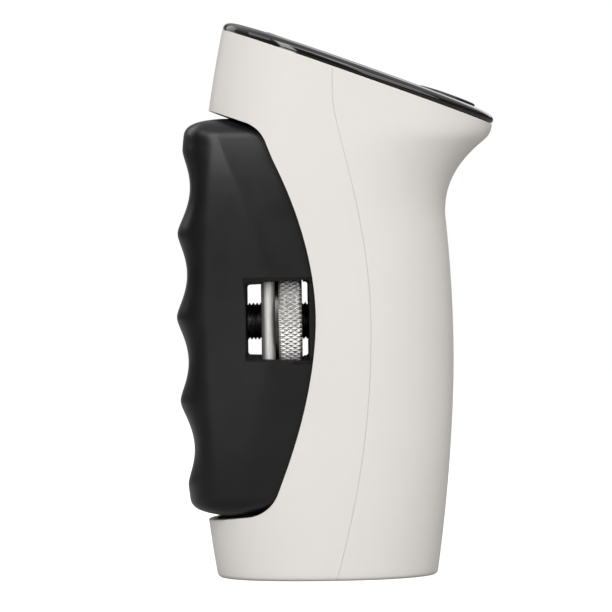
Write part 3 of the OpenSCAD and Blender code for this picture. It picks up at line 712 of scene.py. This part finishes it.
def handle_half(name, side):
    """Near (-1) or far (1) half: skin, hollow, window, room for wheel and bar, screw holes."""
    skin = loft(name, [grip_ring(z, 0, 24) for z in grip_levels])
    z_in = np.linspace(GRIP_Z[0] + END_WALL, GRIP_Z[1] - END_WALL, 40)
    room = loft("room", [grip_ring(z, GRIP_WALL, 12) for z in z_in])
    cut(room, box("t", *TUNNEL))
    cut(skin, room)
    other_side = (-HALF_GAP, 40) if side < 0 else (-40, HALF_GAP)
    bar_room_y = (-BAR_HALF_Y - 0.3, BAR_HALF_Y + 0.3)
    cut(skin, box("h", (-60, 40), other_side, (0, 150)))
    cut(skin, window_cutter("w", side))
    cut(
        skin,
        rod_x("a", BAR_X[1] + 0.1, WHEEL_X[1] + 0.3, 0, ROD_Z, WHEEL_R + 0.6),
        box("b", (BAR_X[0] - 0.1, BAR_X[1] + 0.2), bar_room_y, (BAR_Z[0] - 0.2, BAR_Z[1] + 0.2)),
        rod_x("c", *ROD_ROOM, 0, ROD_Z, HOLE_R),
    )
    if side > 0:
        cut(skin, *[rod_y("s", x, z, HEAD_Y, 30, HEAD_R) for x, z in HANDLE_SCREWS])
    return skin


WALL_MARGIN = 0.3
DARK_X, DARK_Y, DARK_Z = (-26, -4), 13, (45, 92)


def paint_shade_inside(obj):
    """Paints shade on the window's walls and the room behind them: a darker, duller black than the grip where
    shade falls.
    """
    obj.data.materials.append(PAINTED_SHADE_INSIDE)
    window_x = (WINDOW[0][0] - WALL_MARGIN, WINDOW[1][0] + WALL_MARGIN)
    window_z = (WINDOW[2][1] - WALL_MARGIN, WINDOW[1][1] + WALL_MARGIN)
    for face in obj.data.polygons:
        x, y, z = (c / MM for c in face.center)
        in_window = window_x[0] < x < window_x[1] and window_z[0] < z < window_z[1]
        in_room = DARK_X[0] < x < DARK_X[1] and DARK_Z[0] < z < DARK_Z[1] and abs(y) < DARK_Y
        # Painted shade: faces in the window and in the room behind it get the darker black
        if in_window or in_room:
            face.material_index = 1


for side, where in ((-1, "near"), (1, "far")):
    half = handle_half(f"handle_{where}_grip", side)
    finish_piece(half, f"handle_{where}", GRIP, "handle", 28)
    paint_shade_inside(half)

# ---------------------------------------------------------------- threaded rod, bar, washer and wheel
THREAD_PITCH, THREAD_DEPTH, THREAD_FLAT = 1.0, 0.56, 0.12
THREAD_END = 6.0
ROD_X = (-32.5, 22.5)
LEAD_LENGTH, LEAD_DEPTH = 0.8, 0.7
NECK_R, ROD_BREAK = 4.4, 0.4


def threaded_rod(name):
    """Right-hand thread up to its end, then the plain shank."""
    sides, per_turn = 48, 10
    xs = np.arange(ROD_X[0], THREAD_END + 1e-6, THREAD_PITCH / per_turn)
    rings = []
    a = np.arange(sides) * 2 * np.pi / sides
    for x in xs:
        phase = (x / THREAD_PITCH - a / (2 * np.pi)) % 1.0
        tri = np.abs(phase - 0.5) * 2
        r = ROD_R - THREAD_DEPTH * np.clip((tri - THREAD_FLAT) / (1 - 2 * THREAD_FLAT), 0, 1)
        ease = np.clip((x - ROD_X[0]) / LEAD_LENGTH, 0, 1)
        r = np.minimum(r, ROD_R - LEAD_DEPTH * (1 - ease))
        rings.append(np.stack([r * np.cos(a), r * np.sin(a), np.full(sides, x)], 1))
    shank = [(NECK_R, THREAD_END + 0.3), (ROD_R, THREAD_END + 0.6)]
    shank += [(ROD_R, ROD_X[1] - ROD_BREAK), (ROD_R - ROD_BREAK, ROD_X[1])]
    for r, x in shank:
        rings.append(np.stack([r * np.cos(a), r * np.sin(a), np.full(sides, x)], 1))
    return place(loft(name, rings), at(0, 0, ROD_Z) @ TO_X)


rod = threaded_rod("threaded_rod_cut")
finish_piece(rod, "threaded_rod", OXIDE, "body", 50)


def thrust_bar(name):
    """Upright bar with fully round edges, broken ends and a hole for the rod."""
    r = (BAR_X[1] - BAR_X[0]) / 2
    x = (BAR_X[0] + BAR_X[1]) / 2
    y = BAR_HALF_Y - r

    def ring(inset, z):
        points = []
        for cy, start in ((y, 0), (-y, 180)):
            for k in range(25):
                a = math.radians(start + 180 * k / 24)
                points.append((x + (r - inset) * math.cos(a), cy + (r - inset) * math.sin(a), z))
        return np.array(points)

    z0, z1 = BAR_Z
    zs = np.linspace(z0 + BAR_BREAK, z1 - BAR_BREAK, 24)
    rings = [ring(BAR_BREAK, z0)] + [ring(0, z) for z in zs] + [ring(BAR_BREAK, z1)]
    return cut(loft(name, rings), rod_x("c", *ROD_ROOM, 0, ROD_Z, HOLE_R))


bar = thrust_bar("thrust_bar_plate")
finish_piece(bar, "thrust_bar", BAR, "handle", 35)

KNURLS = 88
KNURL_ALONG = 2.15
KNURL_DEPTH = 0.36
CHAMFER = 0.55
BOSS_R, GROOVE_R, GROOVE_DEPTH, GROOVE_EDGE = 8.2, 15.0, 0.25, 0.4


def knurled_wheel(name):
    """Wheel with a shallow turned groove in each face and diamonds cut into its rim."""
    sides = KNURLS * 8
    a = np.arange(sides) * 2 * np.pi / sides
    w = WHEEL_X[1] - WHEEL_X[0]
    bore = ROD_R + 0.05

    def ring(r, h):
        r = np.broadcast_to(r, a.shape)
        return np.stack([r * np.cos(a), r * np.sin(a), np.full(sides, h)], 1)

    face = [
        (bore, 0), (BOSS_R, 0), (BOSS_R + GROOVE_EDGE, GROOVE_DEPTH),
        (GROOVE_R - GROOVE_EDGE, GROOVE_DEPTH), (GROOVE_R, 0), (WHEEL_R - CHAMFER, 0),
    ]
    rings = [ring(r, h) for r, h in face]
    heights = np.linspace(CHAMFER, w - CHAMFER, 42)
    around = a / (2 * np.pi) * KNURLS
    for h in heights:
        along = h / KNURL_ALONG
        p, q = around + along, around - along
        lift = np.minimum(np.abs(p - np.round(p)), np.abs(q - np.round(q)))
        lift = np.clip(lift * 2.5, 0, 1)
        rings.append(ring(WHEEL_R - KNURL_DEPTH * (1 - lift), h))
    rings += [ring(r, w - h) for r, h in reversed(face)]
    wheel = loft(name, rings, caps=False, closed=True)
    return place(wheel, at(WHEEL_X[0], 0, ROD_Z) @ TO_X)


wheel = knurled_wheel("adjusting_wheel_knurled")
finish_piece(wheel, "adjusting_wheel", WHEEL, "wheel", 25)

# ---------------------------------------------------------------- CAD nodes kept as they are
KEPT = {
    "shell_screws": SCREW, "chassis_screws": SCREW, "board_screws": SCREW, "load_cell_screws": SCREW,
    "handle_screws": SCREW, "jam_nut": SCREW, "chassis": NYLON, "guide_block_upper": NYLON,
    "guide_block_lower": NYLON, "battery_holder": NYLON, "lcd_module": LCD, "main_board": BOARD,
    "buzzer": MATTE, "button_spring": SPRING, "button_switch": CONTACT, "battery_contacts": CONTACT,
    "door_contact": CONTACT, "battery_near": WRAP, "battery_far": WRAP, "battery_lead": WIRE,
    "gauge_lead": WIRE, "load_cell": CELL_METAL, "strain_gauges": FOIL, "guide_bush_upper": BRONZE,
    "guide_bush_lower": BRONZE, "thrust_washer": WASHER_PAINTED_SHADE, "guide_pin_upper": PIN, "guide_pin_lower": PIN,
    "battery_door": IVORY,
}
for node, material in KEPT.items():
    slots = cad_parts[node].data.materials
    slots.clear()
    slots.append(material)

# ---------------------------------------------------------------- floor, light and camera
FLOOR_R, FLOOR_MIDDLE, FADE_START = 1.6, 0.02, 0.35  # metres
FLOOR_Z = -0.05  # millimetres, just under the base
FLOOR_SIDES = 96


def floor_disc():
    """Pale paper that fades out at its edge, brightened only for the camera."""
    a = np.arange(FLOOR_SIDES) * 2 * np.pi / FLOOR_SIDES
    z = np.full(FLOOR_SIDES, FLOOR_Z)
    radii = np.array([FLOOR_MIDDLE, 0.1, 0.3, 0.7, 1.1, FLOOR_R]) / MM
    rings = [np.stack([r * np.cos(a), r * np.sin(a), z], 1) for r in radii]
    floor = loft("studio_floor", rings, caps=False)
    floor.data.flip_normals()
    material, tree, shader = node_setup("floor_paper")
    space = object_space(tree)
    grain = noise(tree, space, 900, 2)
    color = blend_colors(tree, spread(tree, grain, 0, 1), (0.35, 0.35, 0.35), (0.33, 0.33, 0.33))
    tree.links.new(color, shader.inputs["Base Color"])
    shader.inputs["Roughness"].default_value = 0.9
    shader.inputs["Specular IOR Level"].default_value = 0.1
    path = add(tree, "ShaderNodeLightPath")
    seen = spread(tree, path.outputs["Is Camera Ray"], 0, 0.97, 0, 1)
    tree.links.new(seen, shader.inputs["Emission Strength"])
    shader.inputs["Emission Color"].default_value = (1, 1, 1, 1)
    length = add(tree, "ShaderNodeVectorMath", operation="LENGTH")
    tree.links.new(space, length.inputs[0])
    fade = spread(tree, length.outputs["Value"], 1, 0, FADE_START, FLOOR_R * 0.92)
    tree.links.new(fade, shader.inputs["Alpha"])
    floor.data.materials.append(material)
    return floor


floor = floor_disc()
middle_r = FLOOR_MIDDLE / MM
middle_ring = [
    (middle_r * math.cos(a), middle_r * math.sin(a), FLOOR_Z)
    for a in np.arange(FLOOR_SIDES) * 2 * np.pi / FLOOR_SIDES
]
fill = new_object("floor_middle", middle_ring, [tuple(range(FLOOR_SIDES))])
fill.data.materials.append(floor.data.materials[0])

# White to the camera. The object is lit by a world that is dim at the horizon and brighter above,
# below and straight behind.
world = bpy.data.worlds.new("studio")
scene.world = world
world.use_nodes = True
wt = world.node_tree
wt.nodes.clear()
out = add(wt, "ShaderNodeOutputWorld")
sky = add(wt, "ShaderNodeBackground")
sky.inputs["Color"].default_value = (1, 1, 1, 1)
sky.inputs["Strength"].default_value = 1.0
glow = add(wt, "ShaderNodeBackground")
where = add(wt, "ShaderNodeTexCoord")
split = add(wt, "ShaderNodeSeparateXYZ")
wt.links.new(where.outputs["Generated"], split.inputs["Vector"])
steep = add(wt, "ShaderNodeMath", operation="ABSOLUTE")
wt.links.new(split.outputs["Z"], steep.inputs[0])
level = add(wt, "ShaderNodeMath", operation="ADD")
wt.links.new(spread(wt, steep.outputs["Value"], 0.07, 0.84, 0.28, 0.7), level.inputs[0])
wt.links.new(spread(wt, split.outputs["Y"], 0.0, 0.42, 0.9, 1.0), level.inputs[1])
wt.links.new(level.outputs["Value"], glow.inputs["Strength"])
glow.inputs["Color"].default_value = (1.0, 0.99, 0.975, 1)
path = add(wt, "ShaderNodeLightPath")
mix = add(wt, "ShaderNodeMixShader")
wt.links.new(path.outputs["Is Camera Ray"], mix.inputs["Fac"])
wt.links.new(glow.outputs["Background"], mix.inputs[1])
wt.links.new(sky.outputs["Background"], mix.inputs[2])
wt.links.new(mix.outputs["Shader"], out.inputs["Surface"])


LIT_POINT = (0, 0, 75)


def softbox(name, azimuth, elevation, distance, width, height, power):
    """Rectangular light aimed at the object; azimuth 0 is in front of it, positive to its right."""
    a, e = math.radians(azimuth), math.radians(elevation)
    target = Vector(LIT_POINT) * MM
    offset = Vector((math.sin(a) * math.cos(e), -math.cos(a) * math.cos(e), math.sin(e))) * distance
    data = bpy.data.lights.new(name, "AREA")
    data.shape = "RECTANGLE"
    data.size, data.size_y = width, height
    data.energy = power
    lamp = bpy.data.objects.new(name, data)
    lamp.location = target + offset
    lamp.rotation_euler = (-offset).to_track_quat("-Z", "Y").to_euler()
    scene.collection.objects.link(lamp)


softbox("key_right", 29, 20, 1.3, 0.85, 0.8, 4.3)
softbox("strip_left", -20, 23, 1.3, 0.32, 0.75, 4.0)
softbox("left_high", -54, 36, 1.4, 0.8, 0.6, 2.3)
softbox("front_high", 0, 42, 1.4, 1.0, 0.5, 4.0)
softbox("back_left", -128, 26, 1.5, 0.9, 0.8, 2.8)
softbox("back_right", 155, 26, 1.5, 0.9, 0.8, 2.8)

# Where the camera stands and looks, in metres, and its roll in degrees
CAMERA_AT, CAMERA_AIM, CAMERA_ROLL = (-0.0057, -1.122, 0.0967), (-0.0078, 0, 0.0727), -0.8
camera_data = bpy.data.cameras.new("camera")
camera_data.sensor_width = 36
camera_data.lens = 244.4
camera_data.clip_start = 0.05
camera_data.clip_end = 20
camera = bpy.data.objects.new("camera", camera_data)
camera.location = CAMERA_AT
look = Vector(CAMERA_AIM) - camera.location
roll = Matrix.Rotation(math.radians(CAMERA_ROLL), 4, "Z").to_quaternion()
camera.rotation_euler = (look.to_track_quat("-Z", "Y") @ roll).to_euler()
scene.collection.objects.link(camera)
scene.camera = camera
scene.view_settings.view_transform = "Standard"

bpy.context.view_layer.update()
